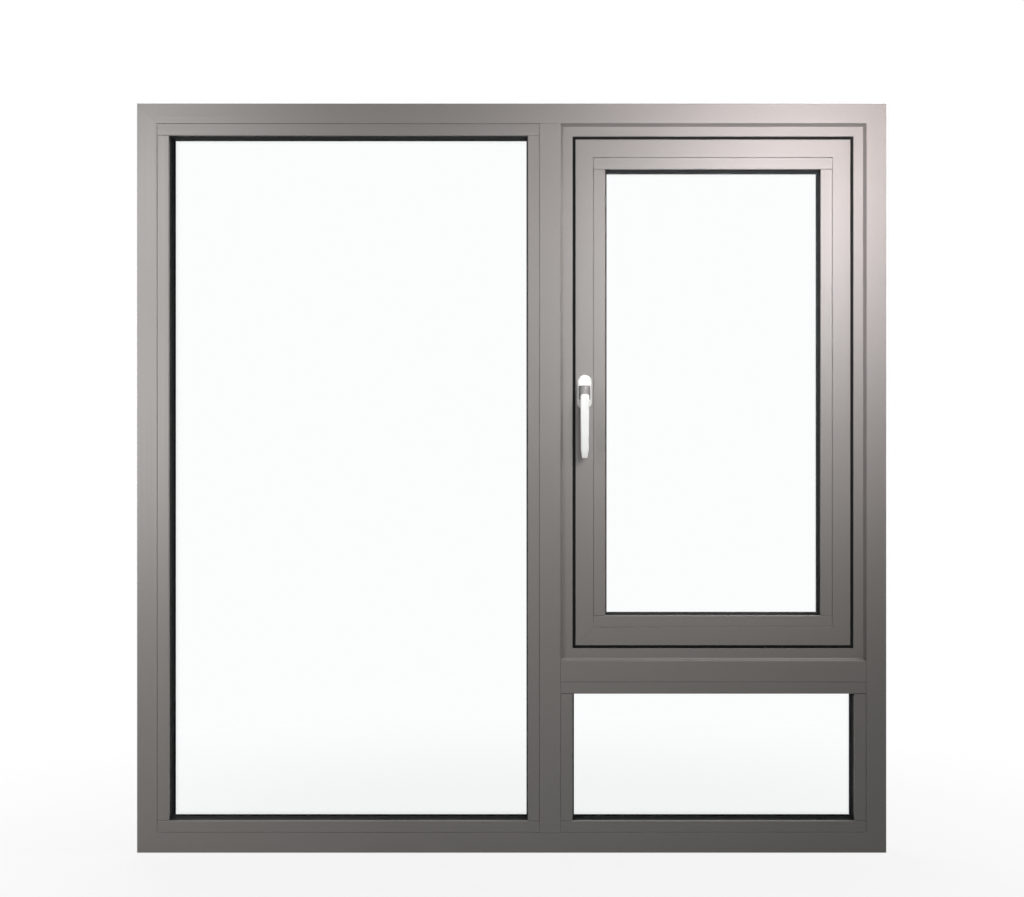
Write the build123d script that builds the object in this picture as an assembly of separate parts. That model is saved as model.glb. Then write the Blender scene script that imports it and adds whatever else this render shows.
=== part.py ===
# Aluminium window with a tall fixed light, an opening light and a low fixed light.
# Millimetres, +Z up, +Y towards the outdoors, X to the right as seen from the room.
# The origin is on the underside of the sill, under the middle of its room-side shell.
import os
from collections import defaultdict, namedtuple
from build123d import *

# Whole window
window_width = 1500.0
window_height = 1500.0
mullion_position = 77.0  # centreline, right of the window's own centreline
transom_position = 363.0  # centreline, above the underside of the sill

# Frame bars, depths measured from the room face
frame_depth = 65.0
frame_face = 40.0  # room face of head, sill and jambs
bar_face = 42.0  # room face of mullion and transom
room_shell_depth = 24.0
weather_shell_depth = 23.0
shell_wall = 1.8
shell_corner = 0.8
rebate_height = 24.0  # rebate wall to the edge of the visible glass
leg_depth = 8.0  # outdoor leg that the glass is pressed against
joint_gap = 0.2  # hairline left at every cut end

# Polyamide strips between the shells
strip_inset = 8.0  # shell edge to the middle of a strip
strip_web = 2.2
strip_head = 3.8
strip_head_depth = 2.5

# Glazing beads and the groove they snap into
bead_recess = 1.0  # bead face behind the frame face
bead_gap = 0.3
bead_lip = 6.0  # depth of the bead's return beside the glass
bead_wall = 1.4
bead_corner = 2.0
clip_setback = 13.0  # frame face to the groove
clip_width = 3.4
clip_depth = 3.0
clip_play = 0.2

# Gaskets
gasket_lining = 3.5  # thickness of the gasket over the bead's return
gasket_setback = 0.5  # gasket edge behind the edge of the bead
gasket_width = 12.0
gasket_foot = 3.0
inner_gasket = 5.0  # between bead and glass
outer_gasket = 4.0  # between leg and glass
gasket_lip = 3.0  # lip on the glass, beyond the edge of the bead or leg
gasket_lip_root = 3.0
gasket_lip_edge = 0.8

# Insulating glass units
pane = 5.0
cavity = 12.0
glass_edge_gap = 6.0  # rebate wall to the glass edge
spacer_inset = 4.0
spacer_height = 7.0
spacer_wall = 1.0

# Vent frame clipped into the rebate of the opening light
vent_recess = 12.0  # its face behind the frame face
vent_chamfer_width = 4.5
vent_chamfer_depth = 8.0
vent_room_depth = 14.0
vent_weather_depth = 14.0
vent_strip_inset = 6.0
vent_seal_setback = 3.0
vent_seal_depth = 6.0

# Sash
sash_gap = 6.0
sash_face = 36.0
sash_room_depth = 20.0
sash_weather_depth = 25.0
flange_overlap = 6.0
flange_depth = 4.0
flange_seal = 4.0
flange_seal_margin = 1.0

# Weep slots in the outdoor faces
weep_length = 28.0
weep_width = 5.0
weep_height = 14.0

# Handle
rose_length = 70.0
rose_width = 30.0
rose_depth = 10.0
rose_draft = 8.0  # degrees
rose_edge = 1.2
spigot_diameter = 16.0
spigot_play = 0.2
hub_diameter = 21.0
hub_depth = 3.0
hub_gap = 0.5  # rose to hub
neck_width = 23.0
neck_rise = 13.0  # spindle up to the top of the neck
neck_drop = 15.0  # spindle down to its underside
neck_round = 10.5  # round of its front corners
neck_edge = 4.0
neck_bite = 2.0  # neck inside the back of the grip
grip_standoff = 28.5  # hub face to the face of the grip
grip_reach = 132.0  # spindle to the end of the grip
grip_top = 4.5  # spindle down to the crown of the grip
grip_crown = 6.0
grip_width = 18.0
grip_depth = 13.0
grip_bevel = 2.8
knee_width = 15.6
knee_depth = 11.5
tip_length = 16.0
tip_width = 11.5
tip_depth = 7.0
tip_corner = 2.0

# Depths that follow from the sizes above
room_face = -room_shell_depth / 2
leg_face = frame_depth - leg_depth
sash_depth = frame_depth + flange_seal + flange_depth
sash_leg_face = sash_depth - leg_depth
vent_weather_end = leg_face - outer_gasket
flange_reach = sash_gap + flange_overlap
glass_unit = 2 * pane + cavity

Opening = namedtuple("Opening", "left right bottom top")
SIDES = ("top", "bottom", "left", "right")


def inset(opening, distance):
    return Opening(opening.left + distance, opening.right - distance,
                   opening.bottom + distance, opening.top - distance)


# The whole window and its three lights, each bounded by its rebate walls
outline = Opening(-window_width / 2, window_width / 2, 0, window_height)
inside_frame = inset(outline, frame_face)
mullion_left = mullion_position - bar_face / 2
mullion_right = mullion_position + bar_face / 2
transom_bottom = transom_position - bar_face / 2
transom_top = transom_position + bar_face / 2
left_light = inside_frame._replace(right=mullion_left)
vent_light = inside_frame._replace(left=mullion_right, bottom=transom_top)
low_light = inside_frame._replace(left=mullion_right, top=transom_bottom)
sash_outline = inset(vent_light, rebate_height + sash_gap)
sash_light = inset(sash_outline, sash_face)


# Sections: u runs from a bar's outer edge into the opening, v from the frame's room face outwards
def block(u0, u1, v0, v1):
    return Pos((u0 + u1) / 2, (v0 + v1) / 2) * Rectangle(u1 - u0, v1 - v0)


def rounded(shape, corners, radius):
    """The section with the given (u, v) corners rounded."""
    picked = []
    for vertex in shape.vertices():
        if any(abs(vertex.X - u) + abs(vertex.Y - v) < 1e-6 for u, v in corners):
            picked.append(vertex)
    return fillet(picked, radius)


def shell(blocks, notches, corners, solid_blocks=()):
    """Hollow extrusion: joined blocks less their notches, with one wall thickness all round."""
    body = Sketch() + [block(*edges) for edges in (*blocks, *solid_blocks)]
    chamber = Sketch()
    for u0, u1, v0, v1 in blocks:
        chamber += block(u0 + shell_wall, u1 - shell_wall, v0 + shell_wall, v1 - shell_wall)
    for notch in notches:
        body -= notch
        box = notch.bounding_box()
        chamber -= block(box.min.X - shell_wall, box.max.X + shell_wall,
                         box.min.Y - shell_wall, box.max.Y + shell_wall)
    return rounded(body, corners, shell_corner) - chamber


def strip_head_notch(u, v, direction):
    """Dovetail that grips the head of a polyamide strip, cut from depth v in the given direction."""
    deep = v + direction * strip_head_depth
    return Polygon((u - strip_web / 2, v), (u + strip_web / 2, v),
                   (u + strip_head / 2, deep), (u - strip_head / 2, deep))


def strip_pair(positions, v0, v1):
    """The two polyamide strips that join a room shell ending at v0 to a weather shell starting at v1."""
    strips = Sketch()
    for u in positions:
        web = block(u - strip_web / 2, u + strip_web / 2, v0, v1)
        strips += web + strip_head_notch(u, v0, -1) + strip_head_notch(u, v1, 1)
    return strips


def clip_notch(u, direction, face):
    """Groove in a rebate wall at u for the foot of a bead, cut in the given direction."""
    ends = sorted((u, u + direction * clip_depth))
    return block(*ends, face + clip_setback, face + clip_setback + clip_width)


def gasket_notch(u, v):
    """Groove in the face of a leg at depth v for the foot of its gasket."""
    return block(u - gasket_foot / 2, u + gasket_foot / 2, v, v + gasket_foot)


def framed_section(u0, u1, legs):
    """Room shell, weather shell and strips of a frame bar with an outdoor leg on each listed side."""
    weather_start = frame_depth - weather_shell_depth
    strips = (u0 + strip_inset, u1 - strip_inset)
    leg_ends = [u0, u1]
    clips = []
    grooves = []
    for index, direction in legs:
        edge = (u0, u1)[index]
        leg_ends[index] = edge + direction * rebate_height
        clips.append(clip_notch(edge, -direction, 0))
        grooves.append(gasket_notch(leg_ends[index] - direction * gasket_width / 2, leg_face))
    room = shell([(u0, u1, 0, room_shell_depth)],
                 clips + [strip_head_notch(u, room_shell_depth, -1) for u in strips],
                 [(u0, 0), (u1, 0)])
    weather = shell([(u0, u1, weather_start, frame_depth), (*leg_ends, leg_face, frame_depth)],
                    grooves + [strip_head_notch(u, weather_start, 1) for u in strips],
                    [(u, frame_depth) for u in leg_ends])
    return room + weather, strip_pair(strips, room_shell_depth, weather_start)


def vent_section():
    """Shells and strips of the vent frame, measured from the rebate wall that it is clipped to."""
    edge = rebate_height
    room_end = vent_recess + vent_room_depth
    weather_start = vent_weather_end - vent_weather_depth
    strips = (bead_gap + vent_strip_inset, edge - vent_strip_inset)
    seal_groove = block(edge - gasket_foot, edge, *vent_seal_foot())
    room = shell([(bead_gap, edge, vent_recess, room_end)],
                 [seal_groove] + [strip_head_notch(u, room_end, -1) for u in strips],
                 [(edge, vent_recess)])
    room += Polygon((bead_gap, vent_recess - vent_chamfer_depth),
                    (bead_gap + vent_chamfer_width, vent_recess), (bead_gap, vent_recess))
    weather = shell([(bead_gap, edge, weather_start, vent_weather_end)],
                    [strip_head_notch(u, weather_start, 1) for u in strips],
                    [(edge, vent_weather_end)])
    return room + clip_foot() + weather, strip_pair(strips, room_end, weather_start)


def vent_seal_foot():
    middle = vent_recess + vent_seal_setback + vent_seal_depth / 2
    return middle - gasket_foot / 2, middle + gasket_foot / 2


def clip_foot(face=0):
    """Foot that snaps into the clip groove of a rebate wall."""
    return block(clip_play - clip_depth, bead_gap + shell_wall,
                 face + clip_setback + clip_play, face + clip_setback + clip_width - clip_play)


def sash_section():
    """Shells and strips of the sash, measured from its outer edge at the gap."""
    room_end = vent_recess + sash_room_depth
    weather_start = sash_depth - sash_weather_depth
    strips = (strip_inset, sash_face - strip_inset)
    leg_end = sash_face + rebate_height
    room = shell([(0, sash_face, vent_recess, room_end)],
                 [clip_notch(sash_face, -1, vent_recess)]
                 + [strip_head_notch(u, room_end, -1) for u in strips],
                 [(0, vent_recess), (sash_face, vent_recess)])
    weather = shell([(0, sash_face, weather_start, sash_depth), (0, leg_end, sash_leg_face, sash_depth)],
                    [gasket_notch(leg_end - gasket_width / 2, sash_leg_face)]
                    + [strip_head_notch(u, weather_start, 1) for u in strips],
                    [(-flange_reach, sash_depth), (leg_end, sash_depth)],
                    [(-flange_reach, shell_wall, sash_depth - flange_depth, sash_depth)])
    return room + weather, strip_pair(strips, room_end, weather_start)


def bead_section(face, leg):
    """Snap-in glazing bead whose length depends on the depth left in front of the glass."""
    front = face + bead_recess
    back = leg - outer_gasket - glass_unit - inner_gasket
    shoulder = rebate_height - gasket_setback - gasket_lining
    lip = block(bead_gap, rebate_height, front, front + bead_lip)
    body = lip + block(bead_gap, shoulder, front, back) + clip_foot(face)
    body = rounded(body, [(rebate_height, front)], bead_corner)
    body = rounded(body, [(bead_gap, front), (rebate_height, front + bead_lip)], shell_corner)
    return body - block(bead_gap + bead_wall, shoulder - bead_wall, front + bead_wall, back - bead_wall)


def lip_on_glass(glass_face, direction):
    """Tapered lip of a gasket that lies on the glass, on the side that the direction points to."""
    edge = rebate_height - gasket_setback
    tip = rebate_height + gasket_lip
    return Polygon((edge, glass_face), (tip, glass_face), (tip, glass_face + direction * gasket_lip_edge),
                   (edge, glass_face + direction * gasket_lip_root))


def inner_gasket_section(face, leg):
    """Wedge between bead and glass with a lining over the bead's return and a lip on the glass."""
    glass_face = leg - outer_gasket - glass_unit
    edge = rebate_height - gasket_setback
    lining = block(edge - gasket_lining, edge, face + bead_recess + bead_lip, glass_face)
    wedge = block(rebate_height - gasket_width, edge, glass_face - inner_gasket, glass_face)
    return lining + wedge + lip_on_glass(glass_face, -1)


def spacer_section(leg):
    """Hollow bar that keeps the two panes of a glass unit apart."""
    start = glass_edge_gap + spacer_inset
    end = start + spacer_height
    cavity_end = leg - outer_gasket - pane
    cavity_start = cavity_end - cavity
    hollow = block(start + spacer_wall, end - spacer_wall,
                   cavity_start + spacer_wall, cavity_end - spacer_wall)
    return block(start, end, cavity_start, cavity_end) - hollow


# Bars: a section is drawn on the side of an opening and extruded along it
def side_plane(opening, side):
    across = (opening.left + opening.right) / 2
    up = (opening.bottom + opening.top) / 2
    places = {"top": ((across, room_face, opening.top), (0, 0, -1)),
              "bottom": ((across, room_face, opening.bottom), (0, 0, 1)),
              "left": ((opening.left, room_face, up), (1, 0, 0)),
              "right": ((opening.right, room_face, up), (-1, 0, 0))}
    origin, inwards = places[side]
    along = Vector(inwards).cross(Vector(0, 1, 0))
    return Plane(origin=origin, x_dir=inwards, z_dir=along)


def side_length(opening, side):
    if side in ("top", "bottom"):
        return opening.right - opening.left
    return opening.top - opening.bottom


def straight_bar(section, opening, side, trim):
    """Bar along one side of an opening, cut square and shortened by trim at both ends."""
    half = side_length(opening, side) / 2 - trim
    return side_plane(opening, side).location * extrude(section, half, both=True)


def mitred_bar(section, opening, side):
    """Bar along one side of an opening with both ends cut at 45 degrees."""
    box = section.bounding_box()
    half = side_length(opening, side) / 2 - joint_gap / 2
    low = box.min.X - 1
    high = box.max.X + 1
    limits = Polygon((low, low - half), (high, high - half), (high, half - high), (low, half - low))
    wedge = extrude(Plane.XZ * limits, 2 * sash_depth, both=True)
    bar = extrude(section, half - low, both=True)
    return side_plane(opening, side).location * (bar & wedge)


def mitred_frame(section, opening):
    return [mitred_bar(section, opening, side) for side in SIDES]


def across_window(opening, v0, v1):
    """Plain sheet that fills an opening between two depths."""
    width = opening.right - opening.left
    height = opening.top - opening.bottom
    middle = ((opening.left + opening.right) / 2, room_face + (v0 + v1) / 2,
              (opening.bottom + opening.top) / 2)
    return Pos(*middle) * Box(width, v1 - v0, height)


def outer_gasket_frame(light, leg, glazed=True):
    """Mitred gasket on the legs round a light, its feet stopping short of the corners."""
    middle = rebate_height - gasket_width / 2
    pad = block(rebate_height - gasket_width, rebate_height - gasket_setback, leg - outer_gasket, leg)
    if glazed:
        pad += lip_on_glass(leg - outer_gasket, 1)
    foot = block(middle - gasket_foot / 2, middle + gasket_foot / 2, leg, leg + gasket_foot)
    strips = []
    for side in SIDES:
        foot_bar = straight_bar(foot, light, side, rebate_height + joint_gap)
        strips.append(mitred_bar(pad, light, side) + foot_bar)
    return strips


def legs_outside(opening):
    """Room that the legs of a bar give up to the legs it meets, all round an opening."""
    zone = (leg_face - joint_gap, frame_depth)
    return across_window(outline, *zone) - across_window(opening, *zone)


def weep_slots(opening, depth, level):
    """Two obround slots through the outdoor wall below an opening."""
    slots = []
    for share in (0.2, 0.8):
        across = opening.left + share * (opening.right - opening.left)
        plane = Plane(origin=(across, room_face + depth + 1, level), x_dir=(1, 0, 0), z_dir=(0, -1, 0))
        slots.append(extrude(plane * SlotOverall(weep_length, weep_width), 1 + 1.5 * shell_wall))
    return slots


parts = defaultdict(list)


def add(name, *shapes):
    """File the solids of some shapes under the node that they belong to."""
    for shape in shapes:
        parts[name].extend(shape.solids())


# Outer frame, mitred at its corners
frame_shells, frame_strips = framed_section(0, frame_face, [(1, 1)])
sill = mitred_bar(frame_shells, outline, "bottom")
sill -= weep_slots(left_light, frame_depth, weep_height)
sill -= weep_slots(low_light, frame_depth, weep_height)
add("frame_sill", sill)
add("frame_head", mitred_bar(frame_shells, outline, "top"))
add("frame_left_jamb", mitred_bar(frame_shells, outline, "left"))
add("frame_right_jamb", mitred_bar(frame_shells, outline, "right"))
add("frame_thermal_break", *mitred_frame(frame_strips, outline))

# Mullion between head and sill, transom between mullion and right jamb
divider_shells, divider_strips = framed_section(0, bar_face, [(0, -1), (1, 1)])
mullion_bay = inside_frame._replace(left=mullion_left, right=mullion_right)
transom_bay = inside_frame._replace(left=mullion_right, bottom=transom_bottom, top=transom_top)
leg_end = rebate_height + joint_gap
above_and_below = inset(inside_frame, leg_end)._replace(left=outline.left, right=outline.right)
left_and_right = inset(transom_bay, leg_end)._replace(bottom=outline.bottom, top=outline.top)
mullion = straight_bar(divider_shells, mullion_bay, "left", joint_gap)
transom = straight_bar(divider_shells, transom_bay, "bottom", joint_gap)
add("mullion", mullion - legs_outside(above_and_below))
add("transom", transom - legs_outside(left_and_right))
add("divider_thermal_breaks", straight_bar(divider_strips, mullion_bay, "left", joint_gap),
    straight_bar(divider_strips, transom_bay, "bottom", joint_gap))

# Vent frame in the rebate of the opening light
vent_shells, vent_strips = vent_section()
for side in SIDES:
    add(f"vent_frame_{side}", mitred_bar(vent_shells, vent_light, side))
add("vent_frame_thermal_break", *mitred_frame(vent_strips, vent_light))
add("frame_outer_gaskets", *outer_gasket_frame(vent_light, leg_face, glazed=False))

# Sash, opening outwards, with a flange that laps over the frame outside
sash_shells, sash_strips = sash_section()
bottom_rail = mitred_bar(sash_shells, sash_outline, "bottom")
bottom_rail -= weep_slots(sash_light, sash_depth, sash_outline.bottom + weep_height)
add("sash_bottom_rail", bottom_rail)
add("sash_top_rail", mitred_bar(sash_shells, sash_outline, "top"))
add("sash_lock_stile", mitred_bar(sash_shells, sash_outline, "left"))
add("sash_hinge_stile", mitred_bar(sash_shells, sash_outline, "right"))
add("sash_thermal_break", *mitred_frame(sash_strips, sash_outline))

# Seal in the gap round the sash, and seal under its flange
seal_start = vent_recess + vent_seal_setback
gap_seal = block(rebate_height, rebate_height + sash_gap, seal_start, seal_start + vent_seal_depth)
gap_seal += block(rebate_height - gasket_foot, rebate_height, *vent_seal_foot())
add("sash_gap_seal", *mitred_frame(gap_seal, vent_light))
lap_seal = block(flange_seal_margin - flange_reach, -flange_seal_margin - sash_gap,
                 frame_depth, frame_depth + flange_seal)
add("sash_flange_seal", *mitred_frame(lap_seal, sash_outline))


def glaze(light_name, holder, light, face, leg):
    """Glazing of one light: butted beads, gaskets, two panes and the spacer between them."""
    bead = bead_section(face, leg)
    for side, trim in zip(SIDES, (bead_gap, bead_gap, leg_end, leg_end)):
        add(f"{light_name}_{side}_bead", straight_bar(bead, light, side, trim))
    glass = inset(light, glass_edge_gap)
    for start in (leg - outer_gasket - glass_unit, leg - outer_gasket - pane):
        add(f"{light_name}_glass", across_window(glass, start, start + pane))
    add(f"{light_name}_glass_spacer", *mitred_frame(spacer_section(leg), light))
    add(f"{holder}_inner_gaskets", *mitred_frame(inner_gasket_section(face, leg), light))
    add(f"{holder}_outer_gaskets", *outer_gasket_frame(light, leg))


glaze("left_light", "frame", left_light, 0, leg_face)
glaze("low_light", "frame", low_light, 0, leg_face)
glaze("sash", "sash", sash_light, vent_recess, sash_leg_face)

# Handle rose on the middle of the lock stile
spindle_x = sash_outline.left + sash_face / 2
spindle_z = (sash_outline.bottom + sash_outline.top) / 2


def towards_room(y):
    """Plane across the spindle at depth y, facing the room."""
    return Plane(origin=(spindle_x, y, spindle_z), x_dir=(1, 0, 0), z_dir=(0, -1, 0))


stile_face = room_face + vent_recess
rose_face = stile_face - rose_depth
rose_outline = SlotOverall(rose_length, rose_width, rotation=90)
rose = extrude(towards_room(stile_face) * rose_outline, rose_depth, taper=rose_draft)
rose = chamfer(rose.faces().sort_by(Axis.Y)[0].edges(), rose_edge)
rose -= extrude(towards_room(stile_face) * Circle((spigot_diameter + spigot_play) / 2), rose_depth)
add("handle_rose", rose)

# Neck: a spigot in the rose, a round hub, and a barrel with a bevelled top that carries the grip
hub_start = rose_face - hub_gap
hub_front = hub_start - hub_depth
grip_front = hub_front - grip_standoff
neck_side = neck_width / 2
neck_front = grip_front + grip_depth - neck_bite
neck_plan = rounded(block(-neck_side, neck_side, neck_front, hub_front),
                    [(-neck_side, neck_front), (neck_side, neck_front)], neck_round)
barrel = extrude(Pos(spindle_x, 0, spindle_z - neck_drop) * neck_plan, neck_drop + neck_rise)
crest = barrel.faces().sort_by(Axis.Z)[-1].edges().sort_by(Axis.Y)
barrel = chamfer(crest[:-1], neck_edge)
spigot = extrude(towards_room(stile_face - hub_gap) * Circle(spigot_diameter / 2), rose_depth)
hub = extrude(towards_room(hub_start) * Circle(hub_diameter / 2), hub_depth)
neck = spigot + hub + barrel
add("handle_neck", neck)

# Grip: a front outline with a rounded crown, bevelled, and cut to a side outline with a slanted tip
crown_level = spindle_z - grip_top
knee_level = spindle_z - grip_reach + tip_length
grip_end = spindle_z - grip_reach
knee_back = grip_front + knee_depth
front_outline = Polygon((-tip_width / 2, grip_end), (tip_width / 2, grip_end),
                        (knee_width / 2, knee_level), (grip_width / 2, crown_level),
                        (-grip_width / 2, crown_level), (-knee_width / 2, knee_level))
front_outline = fillet(front_outline.vertices().group_by(Axis.Y)[-1], grip_crown)
side_outline = Polygon((knee_back - tip_depth, grip_end), (knee_back, grip_end), (knee_back, knee_level),
                       (grip_front + grip_depth, crown_level), (grip_front, crown_level),
                       (grip_front, knee_level))
grip_plane = Plane(origin=(spindle_x, grip_front, 0), x_dir=(1, 0, 0), z_dir=(0, -1, 0))
profile_plane = Plane(origin=(spindle_x, 0, 0), x_dir=(0, 1, 0), z_dir=(1, 0, 0))
grip = extrude(grip_plane * front_outline, -grip_depth)
grip = chamfer(grip.faces().sort_by(Axis.Y)[0].edges(), grip_bevel)
grip &= extrude(profile_plane * side_outline, grip_width, both=True)
grip = fillet(grip.edges().filter_by(Axis.Y).group_by(Axis.Z)[0], tip_corner)
add("handle_grip", grip - neck)

os.makedirs("parts", exist_ok=True)
for name, solids in parts.items():
    export_step(Compound(children=solids), f"parts/{name}.step")
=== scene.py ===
import math
import bmesh
import bpy
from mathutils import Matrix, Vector


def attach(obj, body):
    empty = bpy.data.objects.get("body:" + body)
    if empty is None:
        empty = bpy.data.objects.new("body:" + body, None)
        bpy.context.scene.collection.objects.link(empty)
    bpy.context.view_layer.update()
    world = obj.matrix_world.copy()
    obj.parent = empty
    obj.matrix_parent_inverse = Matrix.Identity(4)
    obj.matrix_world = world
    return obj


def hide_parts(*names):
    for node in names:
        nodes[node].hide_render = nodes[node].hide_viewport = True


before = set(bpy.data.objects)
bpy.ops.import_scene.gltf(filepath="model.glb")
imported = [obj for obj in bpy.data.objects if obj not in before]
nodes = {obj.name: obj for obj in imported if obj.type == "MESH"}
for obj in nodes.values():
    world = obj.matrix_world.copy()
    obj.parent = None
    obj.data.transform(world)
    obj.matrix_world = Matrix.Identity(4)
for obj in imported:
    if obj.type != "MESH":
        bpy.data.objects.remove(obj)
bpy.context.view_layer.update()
bpy.ops.object.select_all(action="DESELECT")
print("frame loaded:", len(nodes), "nodes")


# a colour code as a linear colour
def linear(code):
    parts = [int(code[i:i + 2], 16) / 255 for i in (1, 3, 5)]
    return [c / 12.92 if c <= 0.04045 else ((c + 0.055) / 1.055) ** 2.4 for c in parts] + [1.0]


# the texture scale for a pattern of this size
def perMetre(mm):
    return 1000 / mm


# one node: kind, its settings by name, its inputs by name or index (a value, or a socket to link);
# a colour mix has its share at 0, its two colours at 6 and 7 and its result at output 2
def addNode(tree, kind, settings=None, inputs=None):
    node = tree.nodes.new(kind)
    for key, value in (settings or {}).items():
        setattr(node, key, value)
    for key, value in (inputs or {}).items():
        if isinstance(value, bpy.types.NodeSocket):
            tree.links.new(value, node.inputs[key])
        else:
            node.inputs[key].default_value = value
    return node


# an empty material, its tree, and the place on the piece that its textures go by
def newMaterial(name):
    material = bpy.data.materials.new(name)
    material.use_nodes = True
    tree = material.node_tree
    tree.nodes.clear()
    place = addNode(tree, "ShaderNodeTexCoord").outputs["Object"]
    return material, tree, place


def dress(piece, material):
    piece.data.materials.clear()
    piece.data.materials.append(material)


polymerIor = 1.5          # coats, rubber and foil

# Powder coated extruded aluminium, satin taupe grey: the eye gets a soft sheen, a faint orange peel
# and, along the bar, the die's fine lines that the coat has nearly filled.
barCoat = {
    "colour": "#8e8886", "shade": "#888380", "grain": "#948f8b",
    "dieLine": 2.4,       # mm between die lines, real ones are near 0.4, drawn coarser to show
    "dieReach": 900,      # mm that a line runs
    "peel": 1.8,          # mm, orange peel of a sprayed powder coat
    "grainSize": 0.9,     # mm, powder grain, real ones are near 0.1, drawn coarser to show
    "drift": 260,         # mm, slow change of the coat's thickness
    "grainFrom": 0.55, "grainFull": 0.8, "grainShare": 0.6,
    "dieLow": 0.3, "dieHigh": 0.7, "roughLow": 0.36, "roughHigh": 0.44, "specular": 0.4,
    "peelBump": 0.06, "dieBump": 0.05, "bumpDepth": 0.0004,
}


def coatedBar(name, stretch):
    material, tree, place = newMaterial(name)
    along = addNode(tree, "ShaderNodeMapping", None, {"Vector": place, "Scale": stretch})
    die = addNode(tree, "ShaderNodeTexNoise", None, {
        "Vector": along.outputs[0], "Scale": perMetre(barCoat["dieLine"]), "Detail": 2.0,
        "Roughness": 0.6})
    peel = addNode(tree, "ShaderNodeTexNoise", None, {
        "Vector": place, "Scale": perMetre(barCoat["peel"]), "Detail": 1.0})
    grain = addNode(tree, "ShaderNodeTexNoise", None, {
        "Vector": place, "Scale": perMetre(barCoat["grainSize"]), "Detail": 0.0})
    drift = addNode(tree, "ShaderNodeTexNoise", None, {
        "Vector": place, "Scale": perMetre(barCoat["drift"]), "Detail": 3.0})
    base = addNode(tree, "ShaderNodeMix", {"data_type": "RGBA"}, {
        0: drift.outputs["Fac"], 6: linear(barCoat["shade"]), 7: linear(barCoat["colour"])})
    speck = addNode(tree, "ShaderNodeMapRange", None, {
        "Value": grain.outputs["Fac"], "From Min": barCoat["grainFrom"],
        "From Max": barCoat["grainFull"], "To Min": 0.0, "To Max": barCoat["grainShare"]})
    lit = addNode(tree, "ShaderNodeMix", {"data_type": "RGBA"}, {
        0: speck.outputs[0], 6: base.outputs[2], 7: linear(barCoat["grain"])})
    gloss = addNode(tree, "ShaderNodeMapRange", None, {
        "Value": die.outputs["Fac"], "From Min": barCoat["dieLow"], "From Max": barCoat["dieHigh"],
        "To Min": barCoat["roughLow"], "To Max": barCoat["roughHigh"]})
    fine = addNode(tree, "ShaderNodeBump", None, {
        "Height": peel.outputs["Fac"], "Strength": barCoat["peelBump"],
        "Distance": barCoat["bumpDepth"]})
    lines = addNode(tree, "ShaderNodeBump", None, {
        "Height": die.outputs["Fac"], "Strength": barCoat["dieBump"],
        "Distance": barCoat["bumpDepth"], "Normal": fine.outputs[0]})
    shader = addNode(tree, "ShaderNodeBsdfPrincipled", None, {
        "Base Color": lit.outputs[2], "Roughness": gloss.outputs[0], "Normal": lines.outputs[0],
        "IOR": polymerIor, "Specular IOR Level": barCoat["specular"]})
    addNode(tree, "ShaderNodeOutputMaterial", None, {"Surface": shader.outputs[0]})
    return material


squash = barCoat["dieLine"] / barCoat["dieReach"]
uprightCoat = coatedBar("aluminium_powder_coat_upright", (1, 1, squash))
levelCoat = coatedBar("aluminium_powder_coat_level", (squash, 1, 1))

# EPDM rubber, extruded: dull and nearly black, with a grey bloom that comes up in patches. One
# rubber
# is painted in two tones by where it sits: the glazing gaskets dark grey, painted light that lifts
# the shaded reveals, and the sash's seals near black, painted shade for the gap.
rubber = {
    # gasket colour: painted light for the shaded reveals; seal colour: painted shade for the gap
    "gasket": {"colour": "#2e2e2f", "bloom": "#3b3b3b"},
    "seal": {"colour": "#060606", "bloom": "#101010"},
    "patch": 14,          # mm across a patch of bloom
    "skin": 0.8,          # mm, the die's skin
    "roughLow": 0.5, "roughHigh": 0.75, "specular": 0.12, "skinBump": 0.2, "bumpDepth": 0.0002,
}
epdm = {}
for use in ("gasket", "seal"):
    epdm[use], tree, place = newMaterial("epdm_rubber_painted_light_and_shade_" + use)
    patch = addNode(tree, "ShaderNodeTexNoise", None, {
        "Vector": place, "Scale": perMetre(rubber["patch"]), "Detail": 4.0})
    skin = addNode(tree, "ShaderNodeTexNoise", None, {
        "Vector": place, "Scale": perMetre(rubber["skin"]), "Detail": 2.0})
    tone = addNode(tree, "ShaderNodeMix", {"data_type": "RGBA"}, {
        0: patch.outputs["Fac"], 6: linear(rubber[use]["colour"]),
        7: linear(rubber[use]["bloom"])})
    dull = addNode(tree, "ShaderNodeMapRange", None, {
        "Value": patch.outputs["Fac"], "To Min": rubber["roughLow"],
        "To Max": rubber["roughHigh"]})
    bump = addNode(tree, "ShaderNodeBump", None, {
        "Height": skin.outputs["Fac"], "Strength": rubber["skinBump"],
        "Distance": rubber["bumpDepth"]})
    shader = addNode(tree, "ShaderNodeBsdfPrincipled", None, {
        "Base Color": tone.outputs[2], "Roughness": dull.outputs[0], "Normal": bump.outputs[0],
        "IOR": polymerIor, "Specular IOR Level": rubber["specular"]})
    addNode(tree, "ShaderNodeOutputMaterial", None, {"Surface": shader.outputs[0]})

# Polyamide with glass fibre, extruded: black and matt, short pale fibres just show in the skin.
breakStrip = {
    "colour": "#17171a", "fibre": "#303034",
    "fibreSize": 1.2,     # mm across a bundle of fibres
    "fibreFrom": 0.5, "fibreFull": 0.75, "rough": 0.62, "ior": 1.53,
    "fibreBump": 0.3, "bumpDepth": 0.0002,
}
polyamide, tree, place = newMaterial("polyamide_glass_filled_extruded")
fibre = addNode(tree, "ShaderNodeTexNoise", None, {
    "Vector": place, "Scale": perMetre(breakStrip["fibreSize"]), "Detail": 3.0, "Roughness": 0.7})
speck = addNode(tree, "ShaderNodeMapRange", None, {
    "Value": fibre.outputs["Fac"], "From Min": breakStrip["fibreFrom"],
    "From Max": breakStrip["fibreFull"]})
tone = addNode(tree, "ShaderNodeMix", {"data_type": "RGBA"}, {
    0: speck.outputs[0], 6: linear(breakStrip["colour"]), 7: linear(breakStrip["fibre"])})
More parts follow.
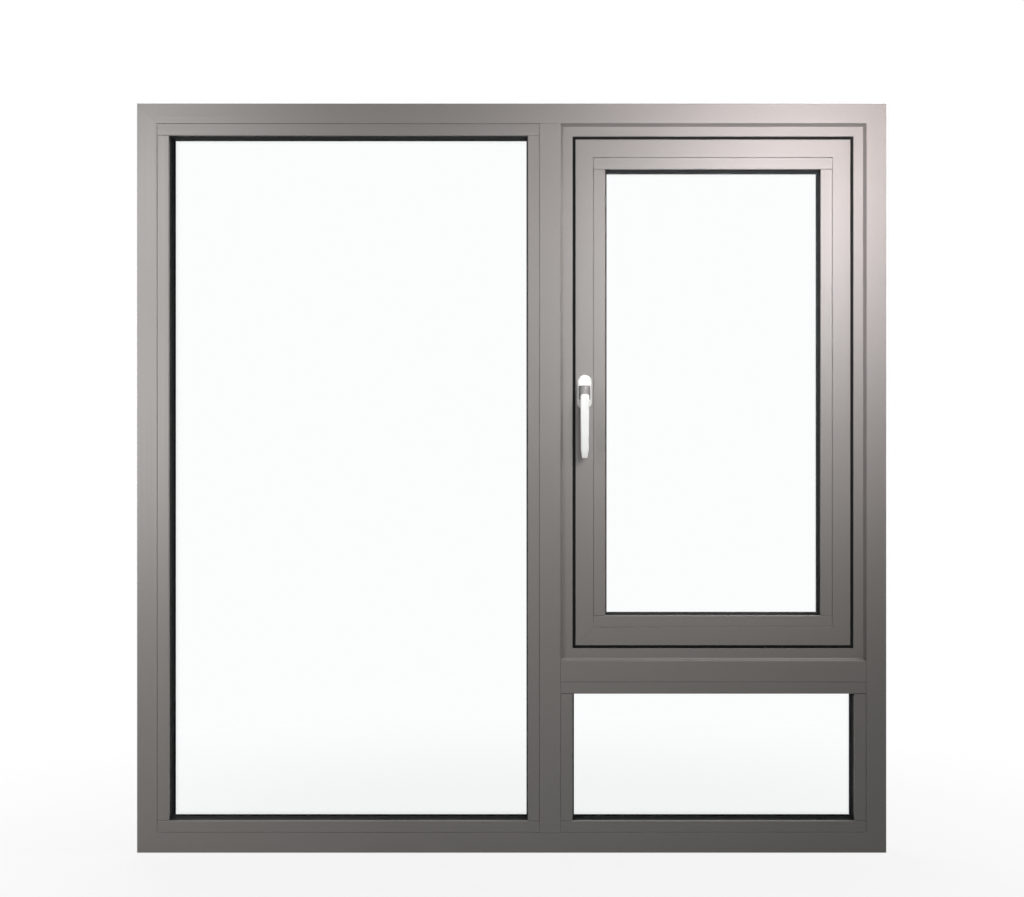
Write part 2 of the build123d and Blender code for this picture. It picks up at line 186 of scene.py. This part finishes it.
bump = addNode(tree, "ShaderNodeBump", None, {
    "Height": fibre.outputs["Fac"], "Strength": breakStrip["fibreBump"],
    "Distance": breakStrip["bumpDepth"]})
shader = addNode(tree, "ShaderNodeBsdfPrincipled", None, {
    "Base Color": tone.outputs[2], "Roughness": breakStrip["rough"], "Normal": bump.outputs[0],
    "IOR": breakStrip["ior"]})
addNode(tree, "ShaderNodeOutputMaterial", None, {"Surface": shader.outputs[0]})

# Warm edge spacer, black foil on plastic: half matt, with rows of dots for its breathing holes.
edgeBar = {
    "colour": "#131314", "dot": "#050505",
    "dotPitch": 4.0,      # mm from hole to hole
    "dotInner": 0.12, "dotOuter": 0.18, "rough": 0.45,
}
spacerFoil, tree, place = newMaterial("spacer_foil_black_embossed")
dots = addNode(tree, "ShaderNodeTexVoronoi", {"feature": "F1"}, {
    "Vector": place, "Scale": perMetre(edgeBar["dotPitch"]), "Randomness": 0.0})
hole = addNode(tree, "ShaderNodeMapRange", None, {
    "Value": dots.outputs["Distance"], "From Min": edgeBar["dotInner"],
    "From Max": edgeBar["dotOuter"], "To Min": 1.0, "To Max": 0.0})
tone = addNode(tree, "ShaderNodeMix", {"data_type": "RGBA"}, {
    0: hole.outputs[0], 6: linear(edgeBar["colour"]), 7: linear(edgeBar["dot"])})
shader = addNode(tree, "ShaderNodeBsdfPrincipled", None, {
    "Base Color": tone.outputs[2], "Roughness": edgeBar["rough"], "IOR": polymerIor})
addNode(tree, "ShaderNodeOutputMaterial", None, {"Surface": shader.outputs[0]})

# Float glass: clear and flat, all but free of colour, a very slow roller wave in its reflections.
pane = {
    "tint": "#fdfefe", "ior": 1.52,
    "wave": 180,          # mm from crest to crest
    "waveBump": 0.02, "bumpDepth": 0.001,
}
floatGlass, tree, place = newMaterial("float_glass_clear")
wave = addNode(tree, "ShaderNodeTexNoise", None, {
    "Vector": place, "Scale": perMetre(pane["wave"]), "Detail": 0.0})
bump = addNode(tree, "ShaderNodeBump", None, {
    "Height": wave.outputs["Fac"], "Strength": pane["waveBump"], "Distance": pane["bumpDepth"]})
shader = addNode(tree, "ShaderNodeBsdfPrincipled", None, {
    "Base Color": linear(pane["tint"]), "Roughness": 0.0, "IOR": pane["ior"],
    "Transmission Weight": 1.0, "Normal": bump.outputs[0]})
addNode(tree, "ShaderNodeOutputMaterial", None, {"Surface": shader.outputs[0]})

# Powder coated die casting, white: smooth, half gloss, a slight peel.
leverCoat = {
    "colour": "#f9f8f6", "shade": "#f3f1ee",
    "peel": 1.6,          # mm, orange peel
    "drift": 22,          # mm, slow change of the coat's thickness
    "roughLow": 0.26, "roughHigh": 0.36, "peelBump": 0.05, "bumpDepth": 0.0003,
}
whiteCoat, tree, place = newMaterial("white_powder_coat_cast")
peel = addNode(tree, "ShaderNodeTexNoise", None, {
    "Vector": place, "Scale": perMetre(leverCoat["peel"]), "Detail": 1.0})
drift = addNode(tree, "ShaderNodeTexNoise", None, {
    "Vector": place, "Scale": perMetre(leverCoat["drift"]), "Detail": 3.0})
tone = addNode(tree, "ShaderNodeMix", {"data_type": "RGBA"}, {
    0: drift.outputs["Fac"], 6: linear(leverCoat["shade"]), 7: linear(leverCoat["colour"])})
gloss = addNode(tree, "ShaderNodeMapRange", None, {
    "Value": peel.outputs["Fac"], "To Min": leverCoat["roughLow"],
    "To Max": leverCoat["roughHigh"]})
bump = addNode(tree, "ShaderNodeBump", None, {
    "Height": peel.outputs["Fac"], "Strength": leverCoat["peelBump"],
    "Distance": leverCoat["bumpDepth"]})
shader = addNode(tree, "ShaderNodeBsdfPrincipled", None, {
    "Base Color": tone.outputs[2], "Roughness": gloss.outputs[0], "Normal": bump.outputs[0],
    "IOR": polymerIor})
addNode(tree, "ShaderNodeOutputMaterial", None, {"Surface": shader.outputs[0]})

# Zinc casting, blasted: its grey is painted shade, standing in for the shade on the neck; a metal
# sheen broken up by the blast's fine pits.
collarAndShade = {
    # colour: painted shade on the neck; pit: a darker grey at random
    "colour": "#94918f", "pit": "#827f7d",
    "pitSize": 0.7,       # mm
    "metallic": 0.3, "rough": 0.5, "pitBump": 0.15, "bumpDepth": 0.0002,
}
shadeGreyCast, tree, place = newMaterial("zinc_cast_blasted_painted_shade")
pits = addNode(tree, "ShaderNodeTexNoise", None, {
    "Vector": place, "Scale": perMetre(collarAndShade["pitSize"]), "Detail": 2.0})
tone = addNode(tree, "ShaderNodeMix", {"data_type": "RGBA"}, {
    0: pits.outputs["Fac"], 6: linear(collarAndShade["pit"]), 7: linear(collarAndShade["colour"])})
bump = addNode(tree, "ShaderNodeBump", None, {
    "Height": pits.outputs["Fac"], "Strength": collarAndShade["pitBump"],
    "Distance": collarAndShade["bumpDepth"]})
shader = addNode(tree, "ShaderNodeBsdfPrincipled", None, {
    "Base Color": tone.outputs[2], "Metallic": collarAndShade["metallic"], "Roughness": collarAndShade["rough"],
    "Normal": bump.outputs[0]})
addNode(tree, "ShaderNodeOutputMaterial", None, {"Surface": shader.outputs[0]})
print("materials made")

# the first word found in a node's name gives its finish, bars go by the way they run
finishes = (
    ("thermal_break", polyamide), ("spacer", spacerFoil), ("gasket", epdm["gasket"]),
    ("seal", epdm["seal"]), ("_glass", floatGlass), ("handle_neck", shadeGreyCast),
    ("handle_", whiteCoat))
levelEnds = ("_head", "_sill", "transom", "_top", "_bottom", "_rail", "top_bead", "bottom_bead")
for name, piece in nodes.items():
    found = [finish for word, finish in finishes if word in name]
    barFinish = levelCoat if name.endswith(levelEnds) else uprightCoat
    dress(piece, found[0] if found else barFinish)
print("nodes dressed")

touch = 0.0001            # metres within which a point counts as on a plane
merge = 0.00001           # metres within which two points become one
facing = 0.9              # part of a normal that counts as facing a way
leaning = 0.5             # part of a normal that counts as leaning that way
smoothAngle = 32          # degrees, edges turning less than this are shaded smooth


# selects points, edges or faces of the piece being edited by a test on their own data
def pick(piece, kind, test):
    bpy.ops.mesh.select_mode(type=kind)
    bpy.ops.mesh.select_all(action="DESELECT")
    shape = bmesh.from_edit_mesh(piece.data)
    shape.normal_update()
    for part in {"VERT": shape.verts, "EDGE": shape.edges, "FACE": shape.faces}[kind]:
        if test(part):
            part.select = True
    shape.select_flush_mode()
    bmesh.update_edit_mesh(piece.data)


# rolls the picked edges over
def rollOver(size, steps):
    bpy.ops.mesh.bevel(offset=size, segments=steps, profile=0.5, affect="EDGES")


def startPiece(name):
    piece = bpy.context.object
    piece.name = name
    bpy.ops.object.transform_apply(location=True, rotation=True, scale=True)
    bpy.ops.object.mode_set(mode="EDIT")
    return piece


def endPiece(piece, finish, body, node):
    bpy.ops.mesh.select_all(action="SELECT")
    bpy.ops.mesh.remove_doubles(threshold=merge)
    bpy.ops.mesh.normals_make_consistent(inside=False)
    bpy.ops.object.mode_set(mode="OBJECT")
    bpy.ops.object.shade_smooth_by_angle(angle=math.radians(smoothAngle))
    # keeps the flats flat beside their rolled edges
    level = piece.modifiers.new("level", "WEIGHTED_NORMAL")
    level.keep_sharp = True
    bpy.ops.object.modifier_apply(modifier=level.name)
    dress(piece, finish)
    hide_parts(node)
    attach(piece, body)
    bpy.ops.object.select_all(action="DESELECT")


# rose: a long plate with round ends, its sides drafted and its front edge rolled over
rose = {
    "x": 0.146, "z": 0.922, "width": 0.030, "length": 0.070, "depth": 0.010, "draft": 0.0014,
    "roll": 0.0032, "sides": 64, "rollSteps": 6,
}
bpy.ops.mesh.primitive_cylinder_add(
    vertices=rose["sides"], radius=rose["width"] / 2, depth=rose["depth"],
    location=(rose["x"], -rose["depth"] / 2, rose["z"]),
    rotation=(math.radians(90), math.radians(180 / rose["sides"]), 0))
plate = startPiece("lever_rose")
stretch = (rose["length"] - rose["width"]) / 2
for way in (1, -1):
    pick(plate, "VERT", lambda v: (v.co.z - rose["z"]) * way > 0)
    bpy.ops.transform.translate(value=(0, 0, way * stretch))
pick(plate, "FACE", lambda f: f.normal.y < -facing)
bpy.ops.transform.resize(
    value=(1 - 2 * rose["draft"] / rose["width"], 1, 1 - 2 * rose["draft"] / rose["length"]),
    center_override=(rose["x"], 0, rose["z"]))
pick(plate, "EDGE", lambda e: all(v.co.y < -rose["depth"] + touch for v in e.verts))
rollOver(rose["roll"], rose["rollSteps"])
endPiece(plate, whiteCoat, "window", "handle_rose")

# neck: a round hub on the rose and a barrel with a rolled top that stands out to the grip
neck = {
    "width": 0.023, "back": -0.0135, "front": -0.0310, "bottom": 0.907, "top": 0.935,
    "roll": 0.0065, "sides": 64, "rollSteps": 6,
    "hubWidth": 0.021, "hubBack": -0.0105, "hubSides": 48,
}
barrelRound = neck["width"] / 2
bpy.ops.mesh.primitive_cylinder_add(
    vertices=neck["sides"], radius=barrelRound, depth=neck["top"] - neck["bottom"],
    location=(rose["x"], neck["front"] + barrelRound, (neck["top"] + neck["bottom"]) / 2))
barrel = startPiece("lever_neck")
pick(barrel, "VERT", lambda v: v.co.y > neck["front"] + barrelRound - touch)
bpy.ops.transform.resize(value=(1, 0, 1), center_override=(rose["x"], neck["back"], rose["z"]))
pick(barrel, "EDGE", lambda e: all(v.co.z > neck["top"] - touch for v in e.verts)
     and not all(v.co.y > neck["back"] - touch for v in e.verts))
rollOver(neck["roll"], neck["rollSteps"])
bpy.ops.mesh.select_all(action="DESELECT")
bpy.ops.mesh.primitive_cylinder_add(
    vertices=neck["hubSides"], radius=neck["hubWidth"] / 2, depth=neck["hubBack"] - neck["back"],
    location=(rose["x"], (neck["hubBack"] + neck["back"]) / 2, rose["z"]),
    rotation=(math.radians(90), 0, 0))
endPiece(barrel, shadeGreyCast, "handle", "handle_neck")

# grip: a bar that narrows to a knee and a slanted tip, its crown and outlines rolled
grip = {
    "top": 0.9175, "knee": 0.806, "end": 0.790, "front": -0.042,
    "width": 0.018, "kneeWidth": 0.0156, "tipWidth": 0.0115,
    "depth": 0.013, "kneeDepth": 0.0115, "tipDepth": 0.007,
    "crown": 0.006, "crownSteps": 8, "frontRoll": 0.0028, "backRoll": 0.0020, "rollSteps": 5,
    "endRoll": 0.0012, "endSteps": 3,
}
bpy.ops.mesh.primitive_cube_add(
    size=1, scale=(grip["width"], grip["depth"], grip["top"] - grip["knee"]),
    location=(rose["x"], grip["front"] + grip["depth"] / 2, (grip["top"] + grip["knee"]) / 2))
bar = startPiece("lever_grip")
pick(bar, "FACE", lambda f: f.normal.z < -facing)
bpy.ops.transform.resize(
    value=(grip["kneeWidth"] / grip["width"], grip["kneeDepth"] / grip["depth"], 1),
    center_override=(rose["x"], grip["front"], grip["knee"]))
bpy.ops.mesh.extrude_region_move(
    TRANSFORM_OT_translate={"value": (0, 0, grip["end"] - grip["knee"])})
bpy.ops.transform.resize(
    value=(grip["tipWidth"] / grip["kneeWidth"], grip["tipDepth"] / grip["kneeDepth"], 1),
    center_override=(rose["x"], grip["front"] + grip["kneeDepth"], grip["end"]))
# the corners of the crown, the outlines of the front and the back, then the end of the tip
pick(bar, "EDGE", lambda e: all(abs(v.co.z - grip["top"]) < touch for v in e.verts)
     and abs(e.verts[0].co.x - e.verts[1].co.x) < touch)
rollOver(grip["crown"], grip["crownSteps"])
for way, size in ((-1, grip["frontRoll"]), (1, grip["backRoll"])):
    pick(bar, "EDGE", lambda e: sum(f.normal.y * way > leaning for f in e.link_faces) == 1
         and any(v.co.z > grip["end"] + touch for v in e.verts))
    rollOver(size, grip["rollSteps"])
pick(bar, "EDGE", lambda e: sum(f.normal.z < -facing for f in e.link_faces) == 1)
rollOver(grip["endRoll"], grip["endSteps"])
endPiece(bar, whiteCoat, "handle", "handle_grip")
print("handle modelled")

pureWhite = (1, 1, 1, 1)


# 1 for a ray that meets the backdrop straight, in a gloss or through glass, otherwise 0
def seenShare(tree):
    ray = addNode(tree, "ShaderNodeLightPath")
    direct = addNode(tree, "ShaderNodeMath", {"operation": "MAXIMUM"}, {
        0: ray.outputs["Is Camera Ray"], 1: ray.outputs["Is Glossy Ray"]})
    return addNode(tree, "ShaderNodeMath", {"operation": "MAXIMUM"}, {
        0: direct.outputs[0], 1: ray.outputs["Is Transmission Ray"]}).outputs[0]


# floor, a white studio sheet: to the eye it is white by its own light, and near the window it keeps
# a part of the shadow
ground = {
    "size": 30.0, "drop": 0.0005, "white": "#c8c8c8",
    "shadowPart": 0.14, "shadowNear": 0.4, "shadowFar": 1.8,
}
bpy.ops.mesh.primitive_plane_add(size=ground["size"], location=(0, 0, -ground["drop"]))
floor = bpy.context.object
floor.name = "studio_floor"
sheet, tree, place = newMaterial("studio_sheet_white")
reach = addNode(tree, "ShaderNodeVectorMath", {"operation": "LENGTH"}, {0: place})
near = addNode(tree, "ShaderNodeMapRange", {"interpolation_type": "SMOOTHSTEP"}, {
    "Value": reach.outputs["Value"], "From Min": ground["shadowNear"],
    "From Max": ground["shadowFar"], "To Min": 1 - ground["shadowPart"], "To Max": 1.0})
share = addNode(tree, "ShaderNodeMath", {"operation": "MULTIPLY"}, {
    0: seenShare(tree), 1: near.outputs[0]})
matt = addNode(tree, "ShaderNodeBsdfDiffuse", None, {"Color": linear(ground["white"])})
glow = addNode(tree, "ShaderNodeEmission", None, {"Color": pureWhite, "Strength": 1.0})
both = addNode(tree, "ShaderNodeMixShader", None, {
    0: share.outputs[0], 1: matt.outputs[0], 2: glow.outputs[0]})
addNode(tree, "ShaderNodeOutputMaterial", None, {"Surface": both.outputs[0]})
dress(floor, sheet)

# air: white to the eye, a low fill on the window
air = {"fill": 0.015, "white": 1.0}
world = bpy.data.worlds.new("studio_air")
bpy.context.scene.world = world
world.use_nodes = True
tree = world.node_tree
tree.nodes.clear()
fill = addNode(tree, "ShaderNodeBackground", None, {"Color": pureWhite, "Strength": air["fill"]})
white = addNode(tree, "ShaderNodeBackground", None, {"Color": pureWhite, "Strength": air["white"]})
both = addNode(tree, "ShaderNodeMixShader", None, {
    0: seenShare(tree), 1: fill.outputs[0], 2: white.outputs[0]})
addNode(tree, "ShaderNodeOutputWorld", None, {"Surface": both.outputs[0]})

# soft boxes: place, the point it faces, side, power, the opening of its grid in degrees, and a tint
# where the photograph's light drifts from white
softBoxes = {
    "upper_right": {"at": (0.58, -1.21, 1.30), "to": (0.55, 0.0, 1.30), "side": 0.30,
                    "watts": 2.3, "grid": 70, "tint": "#f4f8ff"},
    "high_right": {"at": (0.80, -1.25, 1.62), "to": (0.55, 0.0, 1.24), "side": 0.30,
                   "watts": 1.7, "grid": 70, "tint": "#ffeae4"},
    "middle": {"at": (0.45, -1.40, 1.10), "to": (0.10, 0.0, 0.90), "side": 0.50,
               "watts": 2.75, "grid": 120, "tint": "#f0fefa"},
    "high_left": {"at": (-1.05, -1.25, 1.60), "to": (-0.80, 0.0, 1.12), "side": 0.40,
                  "watts": 2.1, "grid": 78},
    "left": {"at": (-0.95, -1.30, 0.85), "to": (-0.95, 0.0, 0.85), "side": 0.50,
             "watts": 4.0, "grid": 120},
    "above": {"at": (0.80, -0.075, 2.30), "to": (0.62, -0.01, 0.40), "side": 0.10,
              "watts": 14.4, "grid": 180},
    "behind": {"at": (-0.90, 2.20, 2.20), "to": (0.0, 0.0, 0.80), "side": 1.60,
               "watts": 65.0, "grid": 180},
    "right_side": {"at": (3.05, 0.45, 0.85), "to": (0.75, 0.02, 0.75), "side": 0.60,
                   "watts": 1.9, "grid": 40},
    "left_side": {"at": (-3.05, 0.45, 0.85), "to": (-0.75, 0.02, 0.75), "side": 0.60,
                  "watts": 1.9, "grid": 40},
}
# the panes take no lamp's glare, so no bright patch stands in them
noGlare = bpy.data.collections.new("no_glare")
for name, piece in nodes.items():
    if name.endswith("_glass"):
        noGlare.objects.link(piece)
for row in noGlare.collection_objects:
    row.light_linking.link_state = "EXCLUDE"
for name, box in softBoxes.items():
    lamp = bpy.data.lights.new(name, "AREA")
    lamp.shape = "SQUARE"
    lamp.size = box["side"]
    lamp.energy = box["watts"]
    lamp.color = linear(box.get("tint", "#ffffff"))[:3]
    lamp.spread = math.radians(box["grid"])
    holder = bpy.data.objects.new(name, lamp)
    bpy.context.collection.objects.link(holder)
    holder.location = box["at"]
    aim = Vector(box["to"]) - Vector(box["at"])
    holder.rotation_euler = aim.to_track_quat("-Z", "Y").to_euler()
    holder.visible_camera = False
    holder.visible_transmission = False
    holder.light_linking.receiver_collection = noGlare
print("lights placed")

# camera straight at the window, a little right of its middle
look = {"at": (0.097, -3.512, 0.8093), "lens": 61.47, "sensor": 36, "shift": -0.047, "farEnd": 100}
lensData = bpy.data.cameras.new("camera")
lensData.lens = look["lens"]
lensData.sensor_width = look["sensor"]
lensData.shift_x = look["shift"]
lensData.clip_end = look["farEnd"]
eye = bpy.data.objects.new("camera", lensData)
eye.location = look["at"]
eye.rotation_euler = (math.radians(90), 0, 0)
bpy.context.collection.objects.link(eye)
bpy.context.scene.camera = eye
bpy.context.scene.view_settings.view_transform = "Standard"
